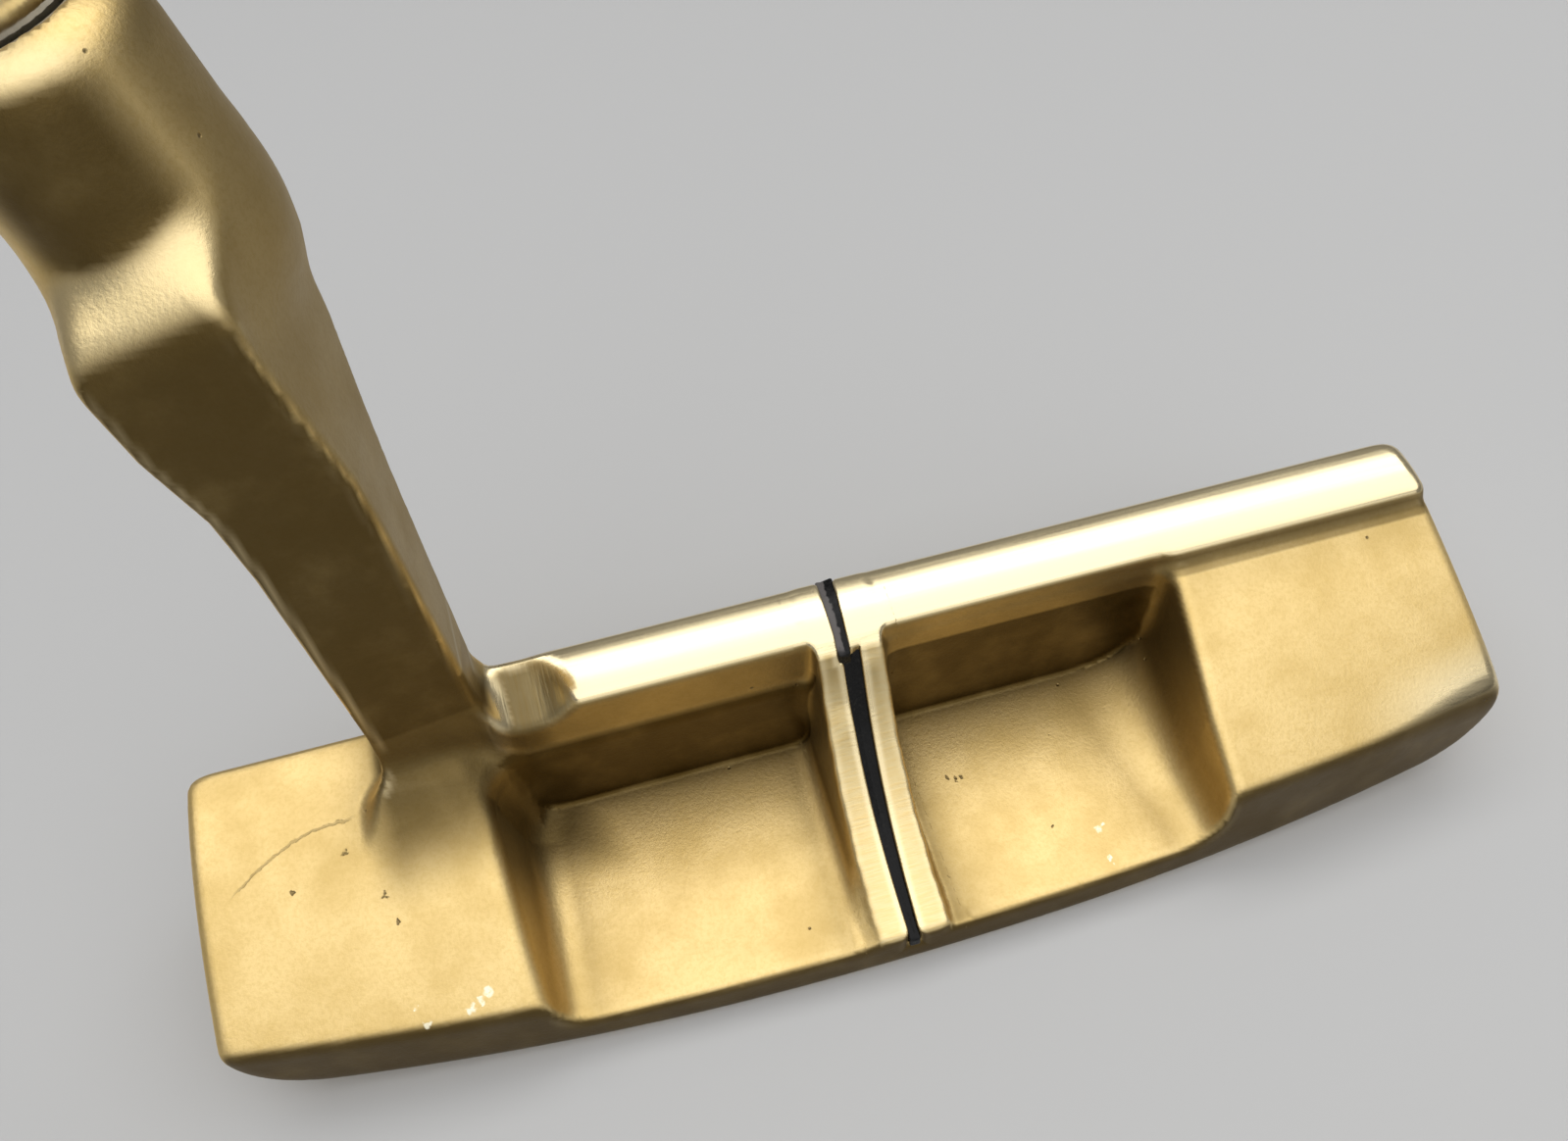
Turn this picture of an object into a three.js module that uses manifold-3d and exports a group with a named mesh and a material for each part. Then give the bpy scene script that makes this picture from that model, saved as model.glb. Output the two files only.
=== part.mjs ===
// A right-handed, heel-toe weighted blade putter with a plumber's neck.
// Millimetres and degrees. The origin is on the ground under the middle of the sole,
// +X runs to the toe, +Y to the target (the face looks that way), +Z up.
// One rigid club: nothing on it moves.
import * as THREE from "three";
import { ConvexGeometry } from "three/addons/geometries/ConvexGeometry.js";
import { mergeVertices } from "three/addons/utils/BufferGeometryUtils.js";
import Module from "manifold-3d";

const wasm = await Module();
wasm.setup();

// ---- Driving dimensions -------------------------------------------------------------

const GAP = 0.3; // clearance between pieces that touch on the real club

const HEAD_LENGTH = 119; // heel to toe
const FACE_HEIGHT = 25; // ground to the crown of the topline
const LOFT = 4; // face angle back from vertical
const LEADING_Y = 14.8; // foot of the face
const TRAILING_Y = -13.9; // rear edge at mid length
const TRAILING_SAG = 3.9; // how far the rear edge curves forward at the ends
const TOPLINE_DEPTH = 7.2; // front to back across the top of the face
const SOLE_CAMBER_RADIUS = 330; // heel-to-toe curve of the sole
const SOLE_FLAT = 24; // width of the flat patch that the head soles on
const END_CORNER_RADIUS = 9; // sole to toe and sole to heel

const BUMPER_REAR_Z = 11.4; // top of the toe weight at the rear edge
const BUMPER_FRONT_Z = 21.9; // and where it meets the topline
const HEEL_TOP_Z = 18.8; // top of the heel weight at the face
const HEEL_REAR_Z = 10.2; // and at the rear edge

const FLOOR_FRONT_Z = 6.7; // pocket floor at the foot of the face wall
const FLOOR_REAR_Z = 4.3; // and where it runs out over the rear edge
const POCKET_WALL_Y = 7.8; // back of the face wall
const HEEL_POCKET_X = [-31.7, -3.2];
const TOE_POCKET_X = [3.6, 30.4];
const POCKET_DRAFT = 1.4; // how far each side wall leans out over its height
const POCKET_CORNER = 3;

const RIB_HALF_WIDTH = 3; // central rib between the pockets
const RIB_REAR_Z = 4.8;

const SCALLOP_RADIUS = 4.2; // file cut across the topline at the foot of the neck
const SCALLOP_AXIS = [-28, 8, 27]; // a point on the axis of that cut
const SCALLOP_TILT = 0.35; // how far the cut falls to the rear, in radians

const TOPLINE_SLOT_WIDTH = 1.7; // sight line across the topline
const TOPLINE_SLOT_DEPTH = 1.7;
const RIB_SLOT_WIDTH = 2; // wider sight line down the rib
const RIB_SLOT_DEPTH = 2.6;
const RIB_SLOT_OFFSET = 0.15; // the rib's line stands a little to the toe
const FILL_THICKNESS = 0.9; // enamel in the bottom of each sight line

const LIE = 77; // shaft to ground
const HOSEL_X_AT_60 = -37.8; // shaft axis at a height of 60
const HOSEL_Y = 17.5;
const HOSEL_RADIUS = 7.7;
const HOSEL_BOTTOM = 58; // height where the hosel's foot is
const HOSEL_TOP = 82.5; // height of the hosel's rim
const BORE_DEPTH = 22;

const SHAFT_TIP_RADIUS = 4.7; // 0.370 inch parallel tip
const SHAFT_BUTT_RADIUS = 7.4; // 0.580 inch butt
const SHAFT_WALL = 0.6;
const SHAFT_STEPS = 13;
const SHAFT_TIP_LENGTH = 150; // tip to the first step
const STEP_LENGTH = 36;

const CLUB_LENGTH = 889; // 35 inch, from the ground along the shaft
const GRIP_LENGTH = 267; // 10.5 inch
const GRIP_WIDTH = 25; // across the thumb flat at the butt
const GRIP_TIP_WIDTH = 19.5;
const GRIP_FLAT = 10.8; // shaft axis to the thumb flat
const GRIP_BUTT_BACK = 18.5; // shaft axis to the back of the pistol swell
const GRIP_TIP_BACK = 9.8;
const CAP_THICKNESS = 3;
const CAP_STEM_LENGTH = 7;
const TAPE_THICKNESS = 0.25;

const ROUND_SEGMENTS = 32;

// ---- Materials ----------------------------------------------------------------------

const BRASS = new THREE.MeshStandardMaterial({ color: 0xb59a5b, roughness: 0.38, metalness: 1 });
const ENAMEL = new THREE.MeshStandardMaterial({ color: 0x0c0b0a, roughness: 0.25, metalness: 0 });
const EPOXY = new THREE.MeshStandardMaterial({ color: 0xb8a888, roughness: 0.5, metalness: 0 });
const CHROME = new THREE.MeshStandardMaterial({ color: 0xd6d8db, roughness: 0.08, metalness: 1 });
const CORK = new THREE.MeshStandardMaterial({ color: 0xa9855a, roughness: 0.9, metalness: 0 });
const TAPE = new THREE.MeshStandardMaterial({ color: 0xc9c3b4, roughness: 0.8, metalness: 0 });
const RUBBER = new THREE.MeshStandardMaterial({ color: 0x17181a, roughness: 0.75, metalness: 0 });
const CAP_PLASTIC = new THREE.MeshStandardMaterial({ color: 0x202124, roughness: 0.5, metalness: 0 });

// ---- Solids from three.js shapes ----------------------------------------------------

const X_AXIS = new THREE.Vector3(1, 0, 0);
const Y_AXIS = new THREE.Vector3(0, 1, 0);
const Z_AXIS = new THREE.Vector3(0, 0, 1);

function toSolid(geometry) {
  const bare = geometry.clone();
  bare.deleteAttribute("normal");
  bare.deleteAttribute("uv");
  const welded = mergeVertices(bare, 1e-4);
  return new wasm.Manifold(new wasm.Mesh({
    numProp: 3,
    vertProperties: new Float32Array(welded.attributes.position.array),
    triVerts: new Uint32Array(welded.index.array),
  }));
}

function toGeometry(solid) {
  const mesh = solid.getMesh();
  const geometry = new THREE.BufferGeometry();
  geometry.setAttribute("position", new THREE.BufferAttribute(new Float32Array(mesh.vertProperties), 3));
  geometry.setIndex(new THREE.BufferAttribute(new Uint32Array(mesh.triVerts), 1));
  geometry.computeVertexNormals();
  return geometry;
}

function shapeOf(points) {
  return new THREE.Shape(points.map(([a, b]) => new THREE.Vector2(a, b)));
}

function extrude(shape, length, curveSegments = 12) {
  return new THREE.ExtrudeGeometry(shape, { depth: length, bevelEnabled: false, curveSegments });
}

// A side outline of (y, z) points, drawn out along X.
function alongX(shape, x0, x1) {
  const geometry = extrude(shape, x1 - x0);
  geometry.applyMatrix4(new THREE.Matrix4().makeBasis(Y_AXIS, Z_AXIS, X_AXIS));
  return toSolid(geometry.translate(x0, 0, 0));
}

// A front outline of (x, z) points, drawn out along Y.
function alongY(shape, y0, y1) {
  const geometry = extrude(shape, y1 - y0);
  geometry.applyMatrix4(new THREE.Matrix4().makeBasis(X_AXIS, Z_AXIS, Y_AXIS.clone().negate()));
  return toSolid(geometry.translate(0, y1, 0));
}

// A plan outline of (x, y) points, drawn out along Z.
function alongZ(shape, z0, z1) {
  return toSolid(extrude(shape, z1 - z0).translate(0, 0, z0));
}

// ---- Head outlines ------------------------------------------------------------------

const HALF = HEAD_LENGTH / 2;
const END_TRAILING_Y = TRAILING_Y + TRAILING_SAG;
const RAMP_REAR_Y = TRAILING_Y + 2.6; // where the weights' straight slopes end

function faceY(z) {
  return LEADING_Y - z * Math.tan(THREE.MathUtils.degToRad(LOFT));
}

const TOPLINE_FRONT_Y = faceY(FACE_HEIGHT);
const TOPLINE_REAR_Y = TOPLINE_FRONT_Y - TOPLINE_DEPTH;

// Plan view: straight face, slightly bowed rear edge, rounded rear corners.
function planOutline() {
  const shape = new THREE.Shape();
  shape.moveTo(-HALF + 0.3, LEADING_Y);
  shape.lineTo(-HALF, END_TRAILING_Y + 3);
  shape.quadraticCurveTo(-HALF, END_TRAILING_Y, -HALF + 4, END_TRAILING_Y - 0.3);
  shape.quadraticCurveTo(0, 2 * TRAILING_Y - END_TRAILING_Y + 0.3, HALF - 4, END_TRAILING_Y - 0.3);
  shape.quadraticCurveTo(HALF, END_TRAILING_Y, HALF, END_TRAILING_Y + 3);
  shape.lineTo(HALF - 2.2, LEADING_Y);
  return shape;
}

// Front view: cambered sole with a flat middle, round lower corners, level topline.
function frontOutline() {
  const flat = SOLE_FLAT / 2;
  const cornerX = HALF - END_CORNER_RADIUS;
  const rise = (cornerX - flat) ** 2 / (2 * SOLE_CAMBER_RADIUS);
  const shape = new THREE.Shape();
  shape.moveTo(-flat, 0);
  shape.lineTo(flat, 0);
  shape.quadraticCurveTo((flat + cornerX) / 2, 0, cornerX, rise);
  shape.quadraticCurveTo(HALF, rise + 1, HALF, rise + END_CORNER_RADIUS);
  shape.lineTo(HALF - 2, FACE_HEIGHT - 3);
  shape.quadraticCurveTo(HALF - 2.2, FACE_HEIGHT, HALF - 5, FACE_HEIGHT + 0.5);
  shape.lineTo(-HALF, FACE_HEIGHT + 0.5);
  shape.lineTo(-HALF, rise + END_CORNER_RADIUS);
  shape.quadraticCurveTo(-HALF, rise + 1, -cornerX, rise);
  shape.quadraticCurveTo(-(flat + cornerX) / 2, 0, -flat, 0);
  return shape;
}

// Side view of the blank: lofted face, crowned topline, ramp of the toe weight.
function blankSection() {
  const shape = new THREE.Shape();
  shape.moveTo(TRAILING_Y - 1, 0);
  shape.lineTo(LEADING_Y - 1.6, 0);
  shape.quadraticCurveTo(faceY(0), 0, faceY(1.8), 1.8);
  shape.lineTo(faceY(FACE_HEIGHT - 1.2), FACE_HEIGHT - 1.2);
  shape.quadraticCurveTo(TOPLINE_FRONT_Y - 0.4, FACE_HEIGHT + 0.1, TOPLINE_FRONT_Y - 2.6, FACE_HEIGHT);
  shape.quadraticCurveTo(TOPLINE_REAR_Y + 2, FACE_HEIGHT - 0.2, TOPLINE_REAR_Y, FACE_HEIGHT - 1.4);
  shape.lineTo(TOPLINE_REAR_Y - 0.4, BUMPER_FRONT_Z);
  shape.lineTo(RAMP_REAR_Y, BUMPER_REAR_Z);
  shape.lineTo(TRAILING_Y - 1, BUMPER_REAR_Z - 2);
  return shape;
}

// What is taken off above the heel weight, outside the neck.
function heelReliefSection() {
  return shapeOf([
    [LEADING_Y + 2, HEEL_TOP_Z],
    [LEADING_Y + 2, FACE_HEIGHT + 5],
    [TRAILING_Y - 2, FACE_HEIGHT + 5],
    [TRAILING_Y - 2, HEEL_REAR_Z - 2],
    [RAMP_REAR_Y, HEEL_REAR_Z],
    [2.3, HEEL_TOP_Z - 2.6],
  ]);
}

// Side view of a pocket: wall parallel to the face, floor falling to the rear.
function pocketSection() {
  const slope = (FLOOR_FRONT_Z - FLOOR_REAR_Z) / (POCKET_WALL_Y - TRAILING_Y);
  return shapeOf([
    [TRAILING_Y - 3, FLOOR_REAR_Z - 3 * slope],
    [POCKET_WALL_Y - 1.6, FLOOR_FRONT_Z - 1.6 * slope],
    [POCKET_WALL_Y, FLOOR_FRONT_Z + 1.6],
    [POCKET_WALL_Y - 1, FACE_HEIGHT - 3.6],
    [TOPLINE_REAR_Y - 0.2, FACE_HEIGHT - 1.2],
    [TOPLINE_REAR_Y - 0.2, FACE_HEIGHT + 4],
    [TRAILING_Y - 3, FACE_HEIGHT + 4],
  ]);
}

// Front view of a pocket between x0 and x1, with drafted walls and eased lower corners.
function pocketWindow([x0, x1], heelDraft, toeDraft) {
  const top = FACE_HEIGHT + 3;
  const low = FLOOR_REAR_Z - 1;
  const shape = new THREE.Shape();
  shape.moveTo(x0 + POCKET_CORNER, low);
  shape.lineTo(x1 - POCKET_CORNER, low);
  shape.quadraticCurveTo(x1, low + 1, x1 + toeDraft * 0.2, low + 6);
  shape.lineTo(x1 + toeDraft, top);
  shape.lineTo(x0 - heelDraft, top);
  shape.lineTo(x0 - heelDraft * 0.2, low + 6);
  shape.quadraticCurveTo(x0, low + 1, x0 + POCKET_CORNER, low);
  return shape;
}

// Side view of the rib's top: steep behind the topline, then a long hollow to the rear.
const RIB_TOP = new THREE.SplineCurve([
  new THREE.Vector2(TOPLINE_REAR_Y + 0.6, FACE_HEIGHT - 1.4),
  new THREE.Vector2(3.1, 17.8),
  new THREE.Vector2(-0.9, 11.4),
  new THREE.Vector2(-7, 7),
  new THREE.Vector2(TRAILING_Y, RIB_REAR_Z),
]);

function ribSection() {
  const top = RIB_TOP.getPoints(14).map(({ x, y }) => [x, y]);
  return shapeOf([[POCKET_WALL_Y + 1, 2], [POCKET_WALL_Y + 1, FACE_HEIGHT - 2.2], ...top, [TRAILING_Y, 2]]);
}

// A band that follows a top line at a depth, used for a sight line's cut or its fill.
function bandSection(line, depth, thickness) {
  const upper = line.map(([y, z]) => [y, z - depth + thickness]);
  const lower = line.map(([y, z]) => [y, z - depth]).reverse();
  return shapeOf([...upper, ...lower]);
}

// ---- Neck outlines ------------------------------------------------------------------

const LEAN = 1 / Math.tan(THREE.MathUtils.degToRad(LIE));

function axisX(z) {
  return HOSEL_X_AT_60 - (z - 60) * LEAN;
}

// The post, bottom to top, as four (x, y) corners at each height: rear heel, rear toe,
// front toe and front heel. It leans to the heel and bends forward under the hosel.
const NECK_SECTIONS = [
  { z: 12, corners: [[-41.4, 6.2], [-31.2, 7.8], [-31, 13.5], [-41.6, 13.5]] },
  { z: 26, corners: [[-41.1, 6.2], [-31.8, 7.6], [-31.8, 13.4], [-41.2, 13.3]] },
  { z: 40, corners: [[-41.9, 6.2], [-32.4, 7.1], [-32.1, 14.6], [-41.8, 14.6]] },
  { z: 53, corners: [[-43, 6.2], [-33.1, 6.8], [-32.5, 17.2], [-42.8, 17.2]] },
  { z: 59, corners: [[-44.8, 6.2], [-34.2, 6.5], [-32.7, 20], [-44.8, 20]] },
  { z: 66.5, corners: [[-45.8, 6.3], [-35.5, 6.3], [-32.3, 22], [-46, 22]] },
  { z: 71, corners: [[-45.4, 11], [-36, 11], [-34, 20], [-45.4, 20]] },
];

// Each pair of neighbouring sections bounds one convex block of the post.
function neckPost() {
  let post = null;
  for (let i = 1; i < NECK_SECTIONS.length; i += 1) {
    const pair = [NECK_SECTIONS[i - 1], NECK_SECTIONS[i]];
    const points = pair.flatMap(({ z, corners }) => corners.map(([x, y]) => new THREE.Vector3(x, y, z)));
    const block = toSolid(new ConvexGeometry(points));
    post = post ? post.add(block) : block;
  }
  return post;
}

// Places a piece turned about the shaft axis: its own +Z runs up the shaft, its +X is
// the side that the player's thumbs rest on, and its zero is on the axis at height z.
function onShaft(object, z) {
  object.position.set(axisX(z), HOSEL_Y, z);
  object.rotation.y = -THREE.MathUtils.degToRad(90 - LIE);
  return object;
}

// ---- Turned pieces ------------------------------------------------------------------

// Turns a profile of (radius, height) points about +Z.
function turned(points) {
  const profile = points.map(([r, z]) => new THREE.Vector2(r, z));
  const geometry = new THREE.LatheGeometry(profile, ROUND_SEGMENTS);
  return geometry.rotateX(Math.PI / 2);
}

function tube(inner, outer, z0, z1) {
  return turned([[inner, z0], [outer, z0], [outer, z1], [inner, z1], [inner, z0]]);
}

function disc(radius, z0, z1) {
  return turned([[0, z0], [radius, z0], [radius, z1], [0, z1]]);
}

const UP_SHAFT = 1 / Math.sin(THREE.MathUtils.degToRad(LIE)); // axis length per unit of height
const HOSEL_LENGTH = (HOSEL_TOP - HOSEL_BOTTOM) * UP_SHAFT;
const BORE_RADIUS = SHAFT_TIP_RADIUS + 0.6;
const BORE_FLOOR = HOSEL_LENGTH - BORE_DEPTH;
const SHAFT_START = BORE_FLOOR + GAP;
const CLUB_END = CLUB_LENGTH - HOSEL_BOTTOM * UP_SHAFT;
const SHAFT_END = CLUB_END - CAP_THICKNESS - GAP;
const GRIP_START = CLUB_END - GRIP_LENGTH;
const SHAFT_Z = HOSEL_BOTTOM;

// Hosel with a round foot and an eased rim, before it is bored.
function hoselBlank() {
  return turned([
    [0, -1.5],
    [HOSEL_RADIUS * 0.6, 0],
    [HOSEL_RADIUS, 4],
    [HOSEL_RADIUS, HOSEL_LENGTH - 0.8],
    [HOSEL_RADIUS - 0.8, HOSEL_LENGTH],
    [0, HOSEL_LENGTH],
  ]);
}

function solidOnShaft(geometry) {
  const holder = onShaft(new THREE.Object3D(), SHAFT_Z);
  holder.updateMatrix();
  return toSolid(geometry.clone().applyMatrix4(holder.matrix));
}

// ---- Head casting -------------------------------------------------------------------

const TOPLINE_LINE = new THREE.QuadraticBezierCurve(
  new THREE.Vector2(TOPLINE_FRONT_Y + 1, FACE_HEIGHT - 1),
  new THREE.Vector2(TOPLINE_FRONT_Y - 2.6, FACE_HEIGHT + 0.8),
  new THREE.Vector2(TOPLINE_REAR_Y - 0.6, FACE_HEIGHT - 1.6),
).getPoints(8).map(({ x, y }) => [x, y]);

const RIB_LINE = RIB_TOP.getPoints(14).map(({ x, y }) => [x, y]);

function sightCut(line, depth, width, centre) {
  const section = bandSection(line, depth, depth + 3);
  return alongX(section, centre - width / 2, centre + width / 2);
}

function sightFill(line, depth, width, centre) {
  const section = bandSection(line, depth - GAP, FILL_THICKNESS);
  const half = width / 2 - GAP;
  return toGeometry(alongX(section, centre - half, centre + half));
}

// The rib's line is cut a little short at both ends so that the enamel stays inside it.
const RIB_FILL_LINE = RIB_LINE.slice(3, -1);
const TOPLINE_FILL_LINE = TOPLINE_LINE.slice(1, -2);

function headCasting() {
  const blank = alongX(blankSection(), -HALF - 1, HALF + 1)
    .intersect(alongZ(planOutline(), -1, FACE_HEIGHT + 2))
    .intersect(alongY(frontOutline(), TRAILING_Y - 2, LEADING_Y + 2));
  const heelRelief = alongX(heelReliefSection(), -HALF - 2, -34);
  const pocket = alongX(pocketSection(), -HALF, HALF);
  const heelPocket = pocket.intersect(alongY(pocketWindow(HEEL_POCKET_X, POCKET_DRAFT, 0.4), -18, 12));
  const toePocket = pocket.intersect(alongY(pocketWindow(TOE_POCKET_X, 0.2, POCKET_DRAFT), -18, 12));
  const rib = alongX(ribSection(), -RIB_HALF_WIDTH, RIB_HALF_WIDTH + 0.3);
  const ribRelief = alongX(
    shapeOf([...RIB_LINE, [TRAILING_Y - 3, RIB_REAR_Z], [TRAILING_Y - 3, 30], [TOPLINE_REAR_Y - 0.4, 30]]),
    HEEL_POCKET_X[1] - 1,
    TOE_POCKET_X[0] + 1,
  );
  const scallop = toSolid(
    disc(SCALLOP_RADIUS, -20, 20).rotateX(Math.PI / 2 + SCALLOP_TILT).translate(...SCALLOP_AXIS),
  );
  const bore = solidOnShaft(disc(BORE_RADIUS, BORE_FLOOR, HOSEL_LENGTH + 5));
  const solid = blank
    .subtract(heelRelief)
    .subtract(heelPocket)
    .subtract(toePocket)
    .subtract(ribRelief)
    .add(rib)
    .subtract(scallop)
    .subtract(sightCut(TOPLINE_LINE, TOPLINE_SLOT_DEPTH, TOPLINE_SLOT_WIDTH, 0))
    .subtract(sightCut(RIB_LINE, RIB_SLOT_DEPTH, RIB_SLOT_WIDTH, RIB_SLOT_OFFSET))
    .add(neckPost())
    .add(solidOnShaft(hoselBlank()))
    .subtract(bore);
  return new THREE.Mesh(toGeometry(solid), BRASS);
}

function toplineSightFill() {
  return new THREE.Mesh(sightFill(TOPLINE_FILL_LINE, TOPLINE_SLOT_DEPTH, TOPLINE_SLOT_WIDTH, 0), ENAMEL);
}

function ribSightFill() {
  return new THREE.Mesh(sightFill(RIB_FILL_LINE, RIB_SLOT_DEPTH, RIB_SLOT_WIDTH, RIB_SLOT_OFFSET), ENAMEL);
}

// ---- Shaft assembly -----------------------------------------------------------------

// Stepped steel tube, open at both ends.
function shaft() {
  const rise = (SHAFT_BUTT_RADIUS - SHAFT_TIP_RADIUS) / SHAFT_STEPS;
  const outer = [[SHAFT_TIP_RADIUS, SHAFT_START]];
  for (let step = 0; step < SHAFT_STEPS; step += 1) {
    const z = SHAFT_START + SHAFT_TIP_LENGTH + step * STEP_LENGTH;
    const radius = SHAFT_TIP_RADIUS + step * rise;
    outer.push([radius, z - 0.8], [radius + rise, z + 0.8]);
  }
  outer.push([SHAFT_BUTT_RADIUS, SHAFT_END]);
  const bore = [...outer].reverse().map(([r, z]) => [r - SHAFT_WALL, z]);
  return onShaft(new THREE.Mesh(turned([...outer, ...bore, outer[0]]), CHROME), SHAFT_Z);
}

function hoselEpoxy() {
  const inner = SHAFT_TIP_RADIUS + 0.2;
  const geometry = tube(inner, BORE_RADIUS - 0.2, SHAFT_START + 1, HOSEL_LENGTH - 0.6);
  return onShaft(new THREE.Mesh(geometry, EPOXY), SHAFT_Z);
}

function shaftTipPlug() {
  const geometry = disc(SHAFT_TIP_RADIUS - SHAFT_WALL - GAP, SHAFT_START + 2, SHAFT_START + 16);
  return onShaft(new THREE.Mesh(geometry, CORK), SHAFT_Z);
}

function gripTape() {
  const inner = SHAFT_BUTT_RADIUS + 0.2;
  const geometry = tube(inner, inner + TAPE_THICKNESS, GRIP_START + 4, SHAFT_END - 1);
  return onShaft(new THREE.Mesh(geometry, TAPE), SHAFT_Z);
}

// ---- Grip ---------------------------------------------------------------------------

// Cross-section of the grip: flat in front (+X), round behind, width across Y.
function gripSection(width, front, back) {
  const half = width / 2;
  const flat = half * 0.62;
  const shape = new THREE.Shape();
  shape.moveTo(front, -flat);
  shape.lineTo(front, flat);
  shape.quadraticCurveTo(front, half, front - 5, half);
  shape.bezierCurveTo(-back * 0.45, half, -back, half * 0.62, -back, 0);
  shape.bezierCurveTo(-back, -half * 0.62, -back * 0.45, -half, front - 5, -half);
  shape.quadraticCurveTo(front, -half, front, -flat);
  return shape;
}

// Fraction of the pistol swell at t, from 0 at the tip to 1 at the butt.
function swell(t) {
  return THREE.MathUtils.smoothstep(t, 0.45, 0.9);
}

// The sections are joined by moving the rings of one extrusion onto them.
function gripBody() {
  const rings = 24;
  const geometry = new THREE.ExtrudeGeometry(gripSection(2, 1, 1), {
    depth: 1,
    steps: rings,
    bevelEnabled: false,
    curveSegments: 8,
  });
  const position = geometry.attributes.position;
  const unit = gripSection(2, 1, 1).getPoints(8);
  for (let i = 0; i < position.count; i += 1) {
    const t = position.getZ(i);
    const width = THREE.MathUtils.lerp(GRIP_TIP_WIDTH, GRIP_WIDTH, t);
    const back = GRIP_TIP_BACK + (GRIP_BUTT_BACK - GRIP_TIP_BACK) * swell(t);
    const here = new THREE.Vector2(position.getX(i), position.getY(i));
    const index = unit.findIndex((point) => point.distanceTo(here) < 1e-5);
    const target = gripSection(width, GRIP_FLAT - 1.5 * (1 - t), back).getPoints(8)[index];
    position.setXYZ(i, target.x, target.y, t * (GRIP_LENGTH - CAP_THICKNESS - GAP));
  }
  return geometry;
}

const GRIP_BORE_RADIUS = SHAFT_BUTT_RADIUS + 0.2 + TAPE_THICKNESS + 0.2;

function grip() {
  const body = toSolid(gripBody());
  const bore = toSolid(disc(GRIP_BORE_RADIUS, -1, GRIP_LENGTH + 1));
  const mesh = new THREE.Mesh(toGeometry(body.subtract(bore)), RUBBER);
  const pocket = onShaft(new THREE.Group(), SHAFT_Z);
  mesh.position.z = GRIP_START;
  pocket.add(mesh);
  return { mesh, pocket };
}

// Butt cap: a lid of the grip's outline on a stem inside the shaft, with a vent hole.
function gripCap() {
  const outline = gripSection(GRIP_WIDTH, GRIP_FLAT, GRIP_BUTT_BACK);
  const lid = toSolid(extrude(outline, CAP_THICKNESS, 8).translate(0, 0, CLUB_END - CAP_THICKNESS));
  const stemRadius = SHAFT_BUTT_RADIUS - SHAFT_WALL - GAP;
  const stemTop = CLUB_END - CAP_THICKNESS / 2;
  const stem = toSolid(disc(stemRadius, stemTop - CAP_STEM_LENGTH, stemTop));
  const vent = toSolid(disc(1.6, CLUB_END - 20, CLUB_END + 5));
  const geometry = toGeometry(lid.add(stem).subtract(vent));
  return onShaft(new THREE.Mesh(geometry, CAP_PLASTIC), SHAFT_Z);
}

// ---- The club -----------------------------------------------------------------------

const group = new THREE.Group();

function addNode(name, mesh, object = mesh) {
  mesh.name = name;
  group.add(object);
}

addNode("head_casting", headCasting());
addNode("topline_sight_fill", toplineSightFill());
addNode("rib_sight_fill", ribSightFill());
addNode("hosel_epoxy", hoselEpoxy());
addNode("shaft", shaft());
addNode("shaft_tip_plug", shaftTipPlug());
addNode("grip_tape", gripTape());
const gripPiece = grip();
addNode("grip", gripPiece.mesh, gripPiece.pocket);
addNode("grip_cap", gripCap());

export default group;
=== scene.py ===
"""Looks of a right-handed blade putter: cast brass head, stepped chrome shaft, rubber pistol grip.

Lengths in the shape code are millimetres in the club's own frame (+X toe, +Y target, +Z up, zero on
the ground under the middle of the sole). Everything handed to Blender is in metres in the same frame.
"""

import math

import bpy
import numpy as np
import openvdb
from mathutils import Euler, Matrix, Vector


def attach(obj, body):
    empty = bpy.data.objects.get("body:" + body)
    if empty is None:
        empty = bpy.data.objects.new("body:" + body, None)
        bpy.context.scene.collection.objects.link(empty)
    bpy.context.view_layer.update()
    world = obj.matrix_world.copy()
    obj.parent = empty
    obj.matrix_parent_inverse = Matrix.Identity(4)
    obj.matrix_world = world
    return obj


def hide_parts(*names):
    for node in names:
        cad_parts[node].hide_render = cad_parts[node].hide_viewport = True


MM = 0.001

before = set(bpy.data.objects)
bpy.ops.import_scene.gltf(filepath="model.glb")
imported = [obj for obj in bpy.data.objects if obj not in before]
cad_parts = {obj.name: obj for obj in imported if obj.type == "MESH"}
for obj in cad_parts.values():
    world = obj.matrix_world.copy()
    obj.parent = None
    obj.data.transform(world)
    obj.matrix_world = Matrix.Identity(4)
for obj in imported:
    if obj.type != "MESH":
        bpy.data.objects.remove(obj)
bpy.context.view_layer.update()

# ---- Camera --------------------------------------------------------------------------------------

# Place and lens in millimetres, angles in degrees.
CAMERA_PLACE = (-17.13, -57.95, 109.42)
CAMERA_AZIMUTH = -10.88
CAMERA_ELEVATION = 48.79
CAMERA_ROLL = -5.70
CAMERA_LENS = 28.15
SENSOR_WIDTH = 36


def make_camera():
    """The photograph's viewpoint: above the heel pocket, looking at the target over the topline."""
    data = bpy.data.cameras.new("camera")
    data.lens = CAMERA_LENS
    data.sensor_width = SENSOR_WIDTH
    data.clip_start = 0.005
    data.clip_end = 20
    camera = bpy.data.objects.new("camera", data)
    azimuth, elevation = math.radians(CAMERA_AZIMUTH), math.radians(CAMERA_ELEVATION)
    turn = Euler((math.pi / 2 - elevation, 0, azimuth)).to_matrix()
    roll = Matrix.Rotation(math.radians(CAMERA_ROLL), 3, "Z")
    camera.matrix_world = (turn @ roll).to_4x4()
    camera.location = Vector(CAMERA_PLACE) * MM
    bpy.context.scene.collection.objects.link(camera)
    bpy.context.scene.camera = camera


make_camera()

# ---- Distance fields -----------------------------------------------------------------------------


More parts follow.
